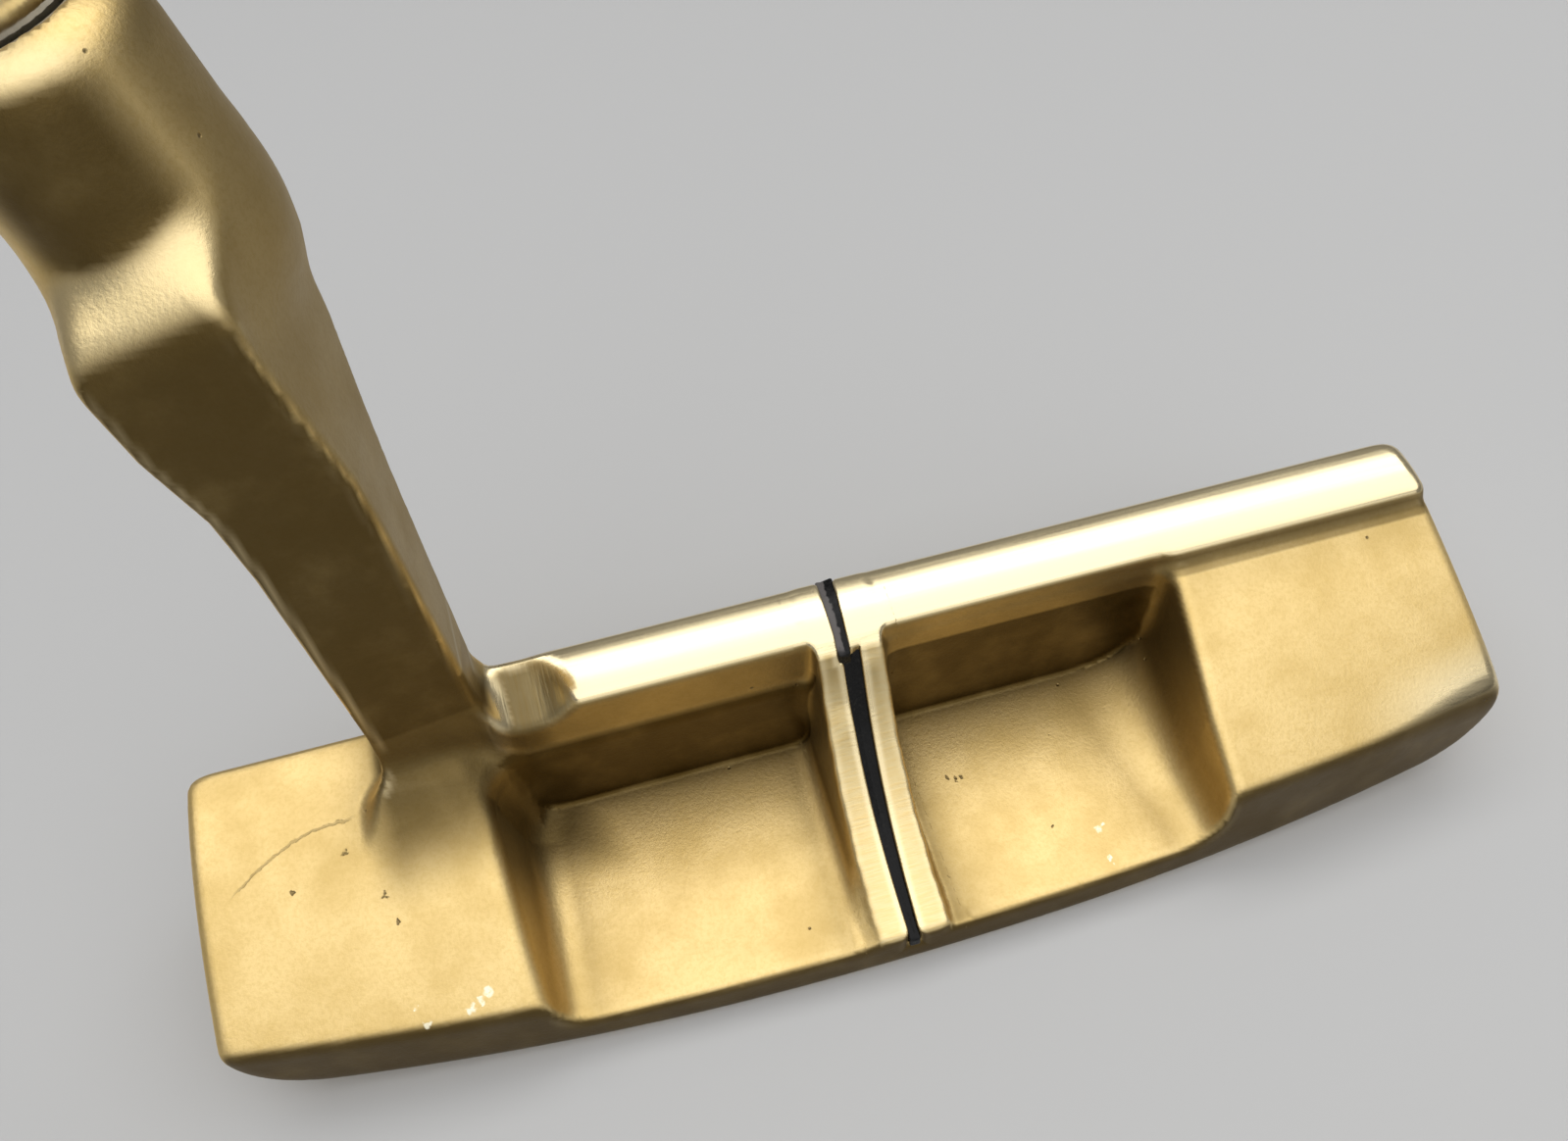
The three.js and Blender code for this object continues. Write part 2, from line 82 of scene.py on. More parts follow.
def smooth_max(a, b, radius):
    blend = np.maximum(radius - np.abs(a - b), 0)
    return np.maximum(a, b) + blend * blend / (4 * radius)


def smooth_min(a, b, radius):
    return -smooth_max(-a, -b, radius)


def smoothstep(low, high, value):
    t = np.clip((value - low) / (high - low), 0, 1)
    return t * t * (3 - 2 * t)


# ---- Head shape ----------------------------------------------------------------------------------

HEAD_HALF = 59.5
TOE_LEAN = 0.16
LOFT = math.radians(4)
FACE_FOOT_Y = 14.8
TRAILING_Y = -13.9
TRAILING_SWEEP = 3.9
SOLE_FLAT = 12
SOLE_RADIUS = 330
END_CORNER = 7

CROWN_Z = 25.0
CROWN_Y = 11.2
CROWN_RADIUS = 10.5
TOPLINE_REAR_Y = 6.0
TOPLINE_HEEL_X = -31.0

TOE_REAR_Z = 11.2
TOE_FRONT_Z = 22.5
TOE_CROWN = 0.4
HEEL_FRONT_Z = 19.4
HEEL_DROP = 0.0633
HEEL_POWER = 1.586

FLOOR_FRONT_Z = 6.7
FLOOR_REAR_Z = 4.3
POCKET_DEPTH_Y = 22.0
BEVEL_TOP_Z = 24.0
BEVEL_FOOT_Y = 6.9
BEVEL_FOOT_Z = (18.9, 20.1)
WALL_FOOT_Y = 8.2
WALL_FOOT_Z = 6.5

# The pockets' side walls. The wall at the heel is placed at its foot, those beside the rib at
# POCKET_TOP_Z and the one at the toe at the rear. A lean is the change in x per millimetre of height.
HEEL_POCKET_X = (-31.7, -2.85)
HEEL_POCKET_LEAN = (0.17, 0.1)
HEEL_POCKET_LEAN_Z = (6, 15)
HEEL_POCKET_CUT_Y = 4.5
HEEL_POCKET_CUT = 0.35
TOE_POCKET_X = (3.25, 30.2)
TOE_POCKET_LEAN = 0.02
TOE_POCKET_SPREAD_Y = -6
TOE_POCKET_SPREAD = 0.09
POCKET_TOP_Z = 15

RIB_CENTRE = 0.2
RIB_HALF = 3.05
RIB_REAR_Z = 3.2
RIB_RISE = 9.2
RIB_GROWTH = 0.13
RIB_SWEEP = 0.0022

SCALLOP_X = -28.2
SCALLOP_Z = 26.4
SCALLOP_Y = 6.3
SCALLOP_RADIUS = 4.5
SCALLOP_TILT = math.radians(34)

TOPLINE_SLOT_DEPTH = 1.5
RIB_SLOT_DEPTH = 2.4
SLOT_MEETING_Y = 5.6
TOPLINE_SLOT_X = (-0.8, 0.2)
RIB_SLOT_X = (-0.45, 1.12)
RIB_SLOT_LENGTH = 18
RIB_SLOT_TAPER = 0.68
RIB_SLOT_SHALLOWING = 0.9

# Radii of the edges and fillets between the head's surfaces. The second value of REAR_EDGE is what the
# toe adds to the first, and NECK_REAR_FILLET is what the back of the neck adds to NECK_FILLET.
TOPLINE_EDGE = 0.9
TOPLINE_END = 1.5
RAMP_FILLET = 1.1
HEEL_POCKET_EDGE = 1.8
TOE_POCKET_EDGE = 1.3
RIB_FILLET = 1.0
SCALLOP_EDGE = 0.9
SLOT_EDGE = 0.25
FACE_EDGE = 1.3
REAR_EDGE = (0.9, 1.3)
SOLE_REAR_EDGE = 1.2
SOLE_FACE_EDGE = 2
NECK_FILLET = 2.2
NECK_REAR_FILLET = 4
KNEE_FILLET = 2.6
BORE_EDGE = 0.6


def face_y(z):
    return FACE_FOOT_Y - z * math.tan(LOFT)


def trailing_y(x):
    return TRAILING_Y + TRAILING_SWEEP * (x / HEAD_HALF) ** 2


def sole_z(x):
    return np.maximum(np.abs(x) - SOLE_FLAT, 0) ** 2 / (2 * SOLE_RADIUS)


def topline_z(y):
    return CROWN_Z - (np.maximum(y, TOPLINE_REAR_Y - 2) - CROWN_Y) ** 2 / (2 * CROWN_RADIUS)


def floor_z(y):
    return FLOOR_REAR_Z + (FLOOR_FRONT_Z - FLOOR_REAR_Z) * (y - TRAILING_Y) / POCKET_DEPTH_Y


def toe_ramp_z(x, y):
    share = np.minimum((y - trailing_y(x)) / (TOPLINE_REAR_Y - trailing_y(x)), 1)
    return TOE_REAR_Z + (TOE_FRONT_Z - TOE_REAR_Z) * share + 4 * TOE_CROWN * share * (1 - share)


def heel_ramp_z(y):
    return HEEL_FRONT_Z - HEEL_DROP * np.maximum(13.2 - y, 0) ** HEEL_POWER


def face_wall(x, y, z):
    """Negative behind the face wall: a steep bevel under the topline, then the pockets' front wall."""
    foot_z = np.where(x < 0, BEVEL_FOOT_Z[0], BEVEL_FOOT_Z[1])
    bevel_slope = (BEVEL_FOOT_Y - TOPLINE_REAR_Y) / (BEVEL_TOP_Z - foot_z)
    wall_slope = (WALL_FOOT_Y - BEVEL_FOOT_Y) / (foot_z - WALL_FOOT_Z)
    bevel = y - (TOPLINE_REAR_Y + (BEVEL_TOP_Z - z) * bevel_slope)
    wall = y - (BEVEL_FOOT_Y + (foot_z - z) * wall_slope)
    return smooth_max(bevel, wall, 0.3)


def pocket(x, y, z, heel_side, toe_side, corners):
    """Negative inside a pocket open to the rear and the top."""
    hollow = smooth_max(floor_z(y) - z, heel_side, corners[0])
    hollow = smooth_max(hollow, toe_side, corners[1])
    return smooth_max(hollow, face_wall(x, y, z), 0.5 + 2.1 * smoothstep(8, 15, z))


def heel_pocket(x, y, z):
    heel_lean, toe_lean = HEEL_POCKET_LEAN
    low, high = HEEL_POCKET_LEAN_Z
    corner_cut = HEEL_POCKET_CUT * np.maximum(y - HEEL_POCKET_CUT_Y, 0)
    heel_side = (HEEL_POCKET_X[0] - heel_lean * np.clip(z - low, 0, high - low) + corner_cut) - x
    toe_side = x - (HEEL_POCKET_X[1] - (POCKET_TOP_Z - z) * toe_lean)
    return pocket(x, y, z, heel_side, toe_side, (3.2, 2.2))


def toe_pocket(x, y, z):
    heel_side = (TOE_POCKET_X[0] + (POCKET_TOP_Z - z) * TOE_POCKET_LEAN) - x
    toe_side = x - (TOE_POCKET_X[1] + TOE_POCKET_SPREAD * np.maximum(y - TOE_POCKET_SPREAD_Y, 0))
    toe_corner = 4.5 + 4 * smoothstep(-12, 8, y)
    return pocket(x, y, z, heel_side, toe_side, (0.9, toe_corner))


def above_rib(y, z):
    """Distance above the rib's upward sweeping top edge."""
    front = np.clip(y, 0, 8)
    reach = RIB_RISE * np.exp(RIB_GROWTH * np.minimum(y, 8) + RIB_SWEEP * front ** 2)
    slope = reach * (RIB_GROWTH + 2 * RIB_SWEEP * front)
    return (z - RIB_REAR_Z - reach) / np.hypot(1, slope)


def rib_distance(x, y, z):
    top = smooth_max(above_rib(y, z), z - topline_z(y) + 0.35, 0.3)
    hand_filed = 0.05 * np.sin(1.3 * y) + 0.035 * np.sin(3.7 * y + x)
    return smooth_max(top, np.abs(x - RIB_CENTRE) - RIB_HALF + hand_filed, 0.5)


def scallop_distance(x, y, z):
    up = (z - SCALLOP_Z) * math.cos(SCALLOP_TILT) - (y - SCALLOP_Y) * math.sin(SCALLOP_TILT)
    return np.hypot(x - SCALLOP_X, up) - SCALLOP_RADIUS


def topline_slot(x, y, z):
    left = TOPLINE_SLOT_X[0]
    right = TOPLINE_SLOT_X[1] + 0.07 * (y - TOPLINE_REAR_Y)
    depth = topline_z(y) - z - TOPLINE_SLOT_DEPTH
    return np.maximum(np.maximum(left - x, x - right), np.maximum(depth, SLOT_MEETING_Y - 0.4 - y))


def rib_slot(x, y, z):
    share = np.clip((5 - y) / RIB_SLOT_LENGTH, 0, 1)
    left = RIB_SLOT_X[0]
    right = RIB_SLOT_X[1] - RIB_SLOT_TAPER * share
    depth = -(above_rib(y, z) + RIB_SLOT_DEPTH - RIB_SLOT_SHALLOWING * share)
    return np.maximum(np.maximum(left - x, x - right), np.maximum(depth, y - SLOT_MEETING_Y))


# ---- Neck and hosel ------------------------------------------------------------------------------

# The post's four corners (x, y) at each height: rear heel, rear toe, front toe, front heel.
NECK_SECTIONS = [
    (12, (-41.4, 6.2), (-31.2, 7.8), (-31.0, 13.4), (-41.6, 13.4)),
    (26, (-41.1, 6.2), (-31.8, 7.6), (-31.8, 13.3), (-41.2, 13.2)),
    (33, (-41.5, 6.2), (-32.1, 7.4), (-31.9, 13.8), (-41.4, 13.8)),
    (40, (-41.9, 6.2), (-32.4, 7.1), (-32.1, 14.6), (-41.8, 14.6)),
    (47, (-42.3, 6.2), (-32.7, 7.0), (-32.3, 15.6), (-42.1, 15.6)),
    (53, (-43.0, 6.2), (-33.1, 6.8), (-32.5, 17.2), (-42.8, 17.2)),
    (59, (-44.8, 6.2), (-34.2, 6.5), (-32.7, 19.5), (-44.8, 19.5)),
    (65, (-45.8, 6.2), (-35.4, 6.3), (-33.0, 20.0), (-46.0, 20.0)),
    (72, (-46.2, 6.2), (-36.0, 6.2), (-34.8, 20.0), (-46.6, 20.0)),
]
NECK_EDGE_RADIUS = 0.9
NECK_ROOT_Z = 9
NECK_REAR_Y = 6.2
SHOULDER_UP = 8.2
SHOULDER_SLOPE = 0.8
SHOULDER_ROUND = 2.4
SHOULDER_TOP_UP = 11.5
SHOULDER_TOP_ROUND = 3

LIE = math.radians(77)
# The shaft axis passes AXIS_X at the height AXIS_Z.
AXIS_X = -37.8
AXIS_Z = 60
HOSEL_Y = 17.5
HOSEL_RADIUS = 7.65
HOSEL_FOOT_Z = 62.0
HOSEL_FOOT_ROUND = 8
HOSEL_RIM_Z = 82.5
RIM_ROUND = 4.2
BORE_RADIUS = 5.2
BORE_BOTTOM = 3.0


def neck_post(x, y, z):
    heights = [section[0] for section in NECK_SECTIONS]
    result = None
    for corner in (1, 2, 3, 4):
        following = corner % 4 + 1
        ax, ay = (np.interp(z, heights, [s[corner][k] for s in NECK_SECTIONS]) for k in (0, 1))
        bx, by = (np.interp(z, heights, [s[following][k] for s in NECK_SECTIONS]) for k in (0, 1))
        length = np.hypot(bx - ax, by - ay)
        side = ((by - ay) * (x - ax) - (bx - ax) * (y - ay)) / length
        result = side if result is None else smooth_max(result, side, NECK_EDGE_RADIUS)
    up, _ = along_shaft(x, y, z)
    shoulder = (up - SHOULDER_UP - SHOULDER_SLOPE * (y - NECK_REAR_Y)) / math.hypot(1, SHOULDER_SLOPE)
    result = smooth_max(result, shoulder, SHOULDER_ROUND)
    result = smooth_max(result, up - SHOULDER_TOP_UP, SHOULDER_TOP_ROUND)
    return np.maximum(result, NECK_ROOT_Z - z)


def along_shaft(x, y, z):
    """Distance up the shaft axis from the height AXIS_Z, and distance out from the axis."""
    dx, dz = x - AXIS_X, z - AXIS_Z
    up = -dx * math.cos(LIE) + dz * math.sin(LIE)
    aside = dx * math.sin(LIE) + dz * math.cos(LIE)
    return up, np.hypot(aside, y - HOSEL_Y)


def hosel(x, y, z):
    up, out = along_shaft(x, y, z)
    foot = (HOSEL_FOOT_Z - AXIS_Z) / math.sin(LIE) - up
    rim = up - (HOSEL_RIM_Z - AXIS_Z) / math.sin(LIE)
    tube = smooth_max(out - HOSEL_RADIUS, foot, HOSEL_FOOT_ROUND)
    return smooth_max(tube, rim, RIM_ROUND)


def head_distance(x, y, z):
    face = (y - face_y(z)) * math.cos(LOFT)
    sole = sole_z(x) - z
    rear = trailing_y(x) - y
    toe_end = x - HEAD_HALF + TOE_LEAN * np.maximum(z - TOE_REAR_Z, 0)
    heel_end = -x - (HEAD_HALF - 0.3)
    front_top = z - topline_z(y)

    low = (z - np.where(x < RIB_CENTRE, heel_ramp_z(y), toe_ramp_z(x, y))) * 0.86
    wall = smooth_max(front_top, -face_wall(x, y, z), TOPLINE_EDGE)
    wall = smooth_max(wall, TOPLINE_HEEL_X - x, TOPLINE_END)
    blank = smooth_min(low, wall, RAMP_FILLET)
    blank = smooth_max(blank, -heel_pocket(x, y, z), HEEL_POCKET_EDGE)
    blank = smooth_max(blank, -toe_pocket(x, y, z), TOE_POCKET_EDGE)

    rib_top = above_rib(y, z)
    beside_rib = np.abs(x - RIB_CENTRE) - RIB_HALF - 1.5
    over_rib = np.maximum(np.maximum(-rib_top, beside_rib), face_wall(x, y, z))
    blank = smooth_max(blank, -over_rib, RIB_FILLET)
    blank = smooth_min(blank, rib_distance(x, y, z), RIB_FILLET)
    blank = smooth_max(blank, -scallop_distance(x, y, z), SCALLOP_EDGE)
    blank = smooth_max(blank, -topline_slot(x, y, z), SLOT_EDGE)
    blank = smooth_max(blank, -rib_slot(x, y, z), SLOT_EDGE)

    rear_edge = REAR_EDGE[0] + REAR_EDGE[1] * smoothstep(44, 57, x)
    blank = smooth_max(blank, face, FACE_EDGE)
    blank = smooth_max(blank, rear, rear_edge)
    shell = smooth_max(sole, np.maximum(toe_end, heel_end), END_CORNER)
    shell = smooth_max(shell, rear, SOLE_REAR_EDGE)
    shell = smooth_max(shell, face, SOLE_FACE_EDGE)
    blank = smooth_max(blank, shell, FACE_EDGE)

    neck = smooth_min(neck_post(x, y, z), hosel(x, y, z), KNEE_FILLET)
    rear_fillet = smoothstep(8.5, 5, y) * smoothstep(-47, -42, x) * smoothstep(-31.5, -35.5, x)
    solid = smooth_min(blank, neck, NECK_FILLET + NECK_REAR_FILLET * rear_fillet)
    up, out = along_shaft(x, y, z)
    bore = np.maximum(out - BORE_RADIUS, BORE_BOTTOM - up)
    return smooth_max(solid, -bore, BORE_EDGE)


# ---- Meshing -------------------------------------------------------------------------------------


def field_gradient(distance, points, step=0.04):
    """Distance over slope, and the unit gradient, of a field at each point."""
    def at(shift):
        x, y, z = (points[:, i] + shift[i] for i in range(3))
        return distance(x, y, z)

    value = at((0, 0, 0))
    slopes = [at(np.eye(3)[i] * step) - at(-np.eye(3)[i] * step) for i in range(3)]
    gradient = np.stack(slopes, axis=1) / (2 * step)
    length = np.linalg.norm(gradient, axis=1)
    return value / np.maximum(length, 0.3), gradient / np.maximum(length, 1e-6)[:, None]


FAR_OUTSIDE = 3.0
PULL_PASSES = 3
PULL_SHARE = 0.8


def mesh_field(distance, blocks, voxel):
    """Points, faces and outward normals of the zero surface of a distance field."""
    lows = [np.floor(np.array(low) / voxel).astype(int) for low, high in blocks]
    highs = [np.ceil(np.array(high) / voxel).astype(int) for low, high in blocks]
    start, stop = np.min(lows, axis=0), np.max(highs, axis=0)
    field = np.full(stop - start, FAR_OUTSIDE, np.float32)
    for low, high in zip(lows, highs):
        x, y, z = (np.arange(low[i], high[i]) * voxel for i in range(3))
        window = tuple(slice(low[i] - start[i], high[i] - start[i]) for i in range(3))
        field[window] = distance(x[:, None, None], y[None, :, None], z[None, None, :])
    grid = openvdb.FloatGrid()
    grid.background = FAR_OUTSIDE
    grid.copyFromArray(field)
    points, triangles, quads = grid.convertToPolygons(isovalue=0.0, adaptivity=0.0)
    points = (points + start) * voxel
    for _ in range(PULL_PASSES):
        value, normal = field_gradient(distance, points)
        points = points - normal * np.clip(value, -voxel, voxel)[:, None] * PULL_SHARE
    _, normal = field_gradient(distance, points)
    return points, quads.tolist() + triangles.tolist(), normal


def add_object(name, points, faces, normals=None):
    """An object in the shared frame from points in millimetres."""
    mesh = bpy.data.meshes.new(name)
    mesh.from_pydata((np.asarray(points) * MM).tolist(), [], faces)
    mesh.shade_smooth()
    if normals is not None:
        mesh.normals_split_custom_set_from_vertices(normals.tolist())
    made = bpy.data.objects.new(name, mesh)
    bpy.context.scene.collection.objects.link(made)
    return made


def add_mask(piece, name, values):
    layer = piece.data.attributes.new(name, "FLOAT", "POINT")
    layer.data.foreach_set("value", np.clip(values, 0, 1).astype(np.float32))


def finish_piece(piece, material, node):
    piece.data.materials.append(material)
    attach(piece, "root")
    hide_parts(node)


# ---- Material helpers ----------------------------------------------------------------------------


SHAKE_SCALE = 1500
SHAKE_WIDTH = 0.0011


class Nodes:
    """Short calls for building one material's node tree."""

    def __init__(self, name):
        self.material = bpy.data.materials.new(name)
        self.material.use_nodes = True
        self.tree = self.material.node_tree
        self.shader = self.tree.nodes["Principled BSDF"]
        self.place = self.add("ShaderNodeTexCoord").outputs["Object"]
        self.bumps = None
        self.shaken = None

    def add(self, kind, **settings):
        node = self.tree.nodes.new(kind)
        for key, value in settings.items():
            setattr(node, key, value)
        return node

    def put(self, socket, value):
        if isinstance(value, bpy.types.NodeSocket):
            self.tree.links.new(value, socket)
        elif isinstance(value, tuple) and len(value) == 3 and len(socket.default_value) == 4:
            socket.default_value = (*value, 1)
        else:
            socket.default_value = value

    def math(self, operation, a, b=0.0, clamp=False):
        node = self.add("ShaderNodeMath", operation=operation, use_clamp=clamp)
        self.put(node.inputs[0], a)
        self.put(node.inputs[1], b)
        return node.outputs[0]

    def mask(self, name):
        return self.add("ShaderNodeAttribute", attribute_name=name).outputs["Fac"]

    def axes(self, place):
        """A place's coordinates, found by the letters X, Y and Z."""
        node = self.add("ShaderNodeSeparateXYZ")
        self.put(node.inputs[0], place)
        return node.outputs

    def stretched(self, scale, turn=(0, 0, 0)):
        node = self.add("ShaderNodeMapping")
        node.inputs["Scale"].default_value = scale
        node.inputs["Rotation"].default_value = turn
        self.put(node.inputs["Vector"], self.place)
        return node.outputs["Vector"]

    def noise(self, scale, detail=3.0, roughness=0.55, place=None):
        node = self.add("ShaderNodeTexNoise")
        self.put(node.inputs["Vector"], place or self.place)
        node.inputs["Scale"].default_value = scale
        node.inputs["Detail"].default_value = detail
        node.inputs["Roughness"].default_value = roughness
        return node.outputs["Fac"]

    def cells(self, scale):
        node = self.add("ShaderNodeTexVoronoi")
        self.put(node.inputs["Vector"], self.place)
        node.inputs["Scale"].default_value = scale
        return node

    def remap(self, value, low, high, to_low=0.0, to_high=1.0):
        node = self.add("ShaderNodeMapRange", interpolation_type="SMOOTHSTEP")
        for socket, number in zip(node.inputs[:5], (value, low, high, to_low, to_high)):
            self.put(socket, number)
        return node.outputs[0]

    def blend(self, share, a, b):
        node = self.add("ShaderNodeMix", data_type="RGBA")
        self.put(node.inputs["Factor"], share)
        self.put(node.inputs[6], a)
        self.put(node.inputs[7], b)
        return node.outputs[2]

    def mix(self, share, a, b):
        node = self.add("ShaderNodeMix", data_type="FLOAT")
        self.put(node.inputs["Factor"], share)
        self.put(node.inputs[2], a)
        self.put(node.inputs[3], b)
        return node.outputs[0]

    def bump(self, height, depth, strength=1.0):
        node = self.add("ShaderNodeBump")
        self.put(node.inputs["Height"], height)
        self.put(node.inputs["Strength"], strength)
        node.inputs["Distance"].default_value = depth
        if self.bumps is not None:
            self.put(node.inputs["Normal"], self.bumps)
        self.bumps = node.outputs["Normal"]

    def spot(self, centre, radius):
        """1 inside a small ball around a point in millimetres, with a soft edge."""
        node = self.add("ShaderNodeVectorMath", operation="DISTANCE")
        self.put(node.inputs[0], self.rough_place())
        node.inputs[1].default_value = tuple(value * MM for value in centre)
        return self.remap(node.outputs["Value"], radius * MM, radius * MM * 0.5)

    def rough_place(self):
        """The coordinates, shaken by half a millimetre so that spots get ragged outlines."""
        if self.shaken is None:
            shake = self.add("ShaderNodeTexNoise")
            self.put(shake.inputs["Vector"], self.place)
            shake.inputs["Scale"].default_value = SHAKE_SCALE
            centred = self.add("ShaderNodeVectorMath", operation="SUBTRACT")
            self.put(centred.inputs[0], shake.outputs["Color"])
            centred.inputs[1].default_value = (0.5, 0.5, 0.5)
            moved = self.add("ShaderNodeVectorMath", operation="MULTIPLY_ADD")
            self.put(moved.inputs[0], centred.outputs[0])
            moved.inputs[1].default_value = (SHAKE_WIDTH,) * 3
            self.put(moved.inputs[2], self.place)
            self.shaken = moved.outputs[0]
        return self.shaken

    def finish(self, colour, roughness, metallic=0.0):
        self.put(self.shader.inputs["Base Color"], colour)
        self.put(self.shader.inputs["Roughness"], roughness)
        self.shader.inputs["Metallic"].default_value = metallic
        if self.bumps is not None:
            self.put(self.shader.inputs["Normal"], self.bumps)
        return self.material


# ---- Brass ---------------------------------------------------------------------------------------

CAST_GOLD = (0.80, 0.60, 0.27)
CAST_OCHRE = (0.66, 0.47, 0.17)
# POLISHED is also laid on the toe corner and the knee top as a painted highlight.
POLISHED = (0.93, 0.78, 0.47)
GROUND = (0.82, 0.67, 0.36)
# Painted shade mixed with real patina: a dark brown laid into hollows, on faces turned back and round the
# neck, standing in for shade and dark reflections.
SHADE_TARNISH_BROWN = (0.07, 0.043, 0.011)
CHIP = (0.95, 0.88, 0.66)
PIT = (0.12, 0.085, 0.035)

# Chips in the cast skin: centre and radius.
CHIPS = [
    ((-36.8, -10.0, 10.1), 0.55), ((-37.5, -10.5, 9.8), 0.4), ((-38.5, -10.9, 9.5), 0.45),
    ((-42.1, -11.1, 9.4), 0.35), ((-42.8, -9.9, 10.2), 0.25), ((19.9, -8.5, 4.9), 0.4),
    ((20.4, -8.3, 4.9), 0.25), ((19.6, -11.5, 4.7), 0.35), ((19.9, -12.1, 4.6), 0.3),
]
PITS = [
    ((-46.1, 2.7, 16.7), 0.35), ((-43.6, 5.5, 17.8), 0.4), ((-43.4, -1.4, 15.0), 0.3),
    ((-50.8, 0.7, 15.8), 0.22), ((-42.9, -3.5, 13.9), 0.25), ((8.0, 0.5, 5.8), 0.25),
    ((8.7, 0.1, 5.8), 0.25), ((9.5, 0.1, 5.8), 0.22), ((15.9, -7.1, 5.1), 0.22),
    ((-3.6, -6.0, 5.3), 0.25), ((-3.9, 1.6, 6.1), 0.25),
]

# The line that curves over the heel weight, in metres: its crest, bend, wander and soft half width.
LINE_CREST_X = -0.0458
LINE_CREST_Y = 0.0053
LINE_BEND = 38.0
LINE_WOBBLE = 0.0009
LINE_HALF_WIDTH = (0.00017, 0.00004)


def largest(n, values):
    total = values[0]
    for value in values[1:]:
        total = n.math("MAXIMUM", total, value)
    return total


def flow_line(n):
    """1 along the cold shut that curves over the heel weight."""
    axes = n.axes(n.place)
    wobble = n.math("MULTIPLY", n.math("SUBTRACT", n.noise(900), 0.5), LINE_WOBBLE)
    along = n.math("ADD", axes["X"], -LINE_CREST_X)
    sag = n.math("MULTIPLY", n.math("MULTIPLY", along, along), -LINE_BEND)
    line = n.math("ADD", n.math("ADD", sag, LINE_CREST_Y), wobble)
    off = n.math("ABSOLUTE", n.math("SUBTRACT", axes["Y"], line))
    near = n.remap(off, *LINE_HALF_WIDTH)
    within = n.math("MULTIPLY", n.remap(along, -0.0105, -0.009), n.remap(along, 0.001, 0.0))
    low = n.remap(axes["Z"], 0.021, 0.0205)
    return n.math("MULTIPLY", n.math("MULTIPLY", near, within), low)


def brass_material():
    n = Nodes("cast_brass")
    polish_and_highlight, ground, shade_and_tarnish, wear = (n.mask(name) for name in ("polish_and_highlight", "ground", "shade_and_tarnish", "wear"))

    mottle = n.noise(150, 8, 0.6)
    grain = n.noise(2700, 3, 0.75)
    speckle = n.remap(grain, 0.42, 0.66)
    cast = n.blend(n.remap(mottle, 0.35, 0.75, 0.0, 0.7), CAST_GOLD, CAST_OCHRE)
    cast = n.blend(n.math("MULTIPLY", speckle, 0.45), cast, CAST_OCHRE)

    brushed = n.noise(1.0, 3, 0.6, n.stretched((420, 5200, 420), (0, 0, math.radians(28))))
    filed = n.noise(1.0, 3, 0.6, n.stretched((3400, 240, 240)))
    strokes = n.mix(n.remap(n.axes(n.place)["X"], -0.021, -0.019), filed, brushed)
    polish_lines = n.noise(1.0, 2, 0.6, n.stretched((60, 3800, 3800)))
    colour = n.blend(ground, cast, n.blend(n.remap(strokes, 0.3, 0.75), GROUND, CAST_GOLD))
    # Polished topline and face, plus a painted highlight on the toe corner.
    colour = n.blend(polish_and_highlight, colour, POLISHED)

    pocks = n.cells(300)
    lot = n.math("FRACT", n.math("MULTIPLY", pocks.outputs["Color"], 7.31))
    chosen = n.math("GREATER_THAN", lot, 0.6)
    rough_skin = n.math("SUBTRACT", 1.0, n.math("MAXIMUM", polish_and_highlight, ground), clamp=True)
    holes = n.math("MULTIPLY", n.remap(pocks.outputs["Distance"], 0.06, 0.02), chosen)
    holes = n.math("MULTIPLY", holes, rough_skin)
    holes = n.math("MAXIMUM", holes, largest(n, [n.spot(*pit) for pit in PITS]))
    line = flow_line(n)
    holes = n.math("MAXIMUM", holes, n.math("MULTIPLY", line, 0.5))

    # Painted shade: the brass darkens towards brown where the shade and tarnish mask is set.
    shade_and_tarnish_share = n.math("MULTIPLY", shade_and_tarnish, n.remap(n.noise(190, 4), 0.15, 0.6, 0.9, 1.0))
    colour = n.blend(shade_and_tarnish_share, colour, SHADE_TARNISH_BROWN)
    # Worn edges, plus a painted highlight on the knee top.
    colour = n.blend(n.math("MULTIPLY", wear, 0.8), colour, POLISHED)
    colour = n.blend(n.math("MULTIPLY", holes, 0.8), colour, PIT)
    chips = n.math("MULTIPLY", largest(n, [n.spot(*chip) for chip in CHIPS]), n.remap(grain, 0.3, 0.5))
    colour = n.blend(chips, colour, CHIP)

    roughness = n.mix(ground, n.remap(mottle, 0.3, 0.7, 0.44, 0.52), 0.38)
    roughness = n.mix(polish_and_highlight, roughness, n.remap(polish_lines, 0.3, 0.7, 0.17, 0.26))
    roughness = n.mix(n.math("MULTIPLY", wear, 0.8), roughness, 0.24)

    n.bump(grain, 0.00006, n.math("MULTIPLY", rough_skin, 0.5))
    n.bump(strokes, 0.00006, n.math("MULTIPLY", ground, 0.6))
    n.bump(polish_lines, 0.000006, n.math("MULTIPLY", polish_and_highlight, 0.3))
    n.bump(n.math("SUBTRACT", 1.0, holes), 0.00012, 0.7)
    return n.finish(colour, roughness, 1.0)


def height_over(points, normals, reach):
    """The head's distance field a little way out from each point, as a share of that way."""
    x, y, z = (points + normals * reach).T
    return head_distance(x, y, z) / reach


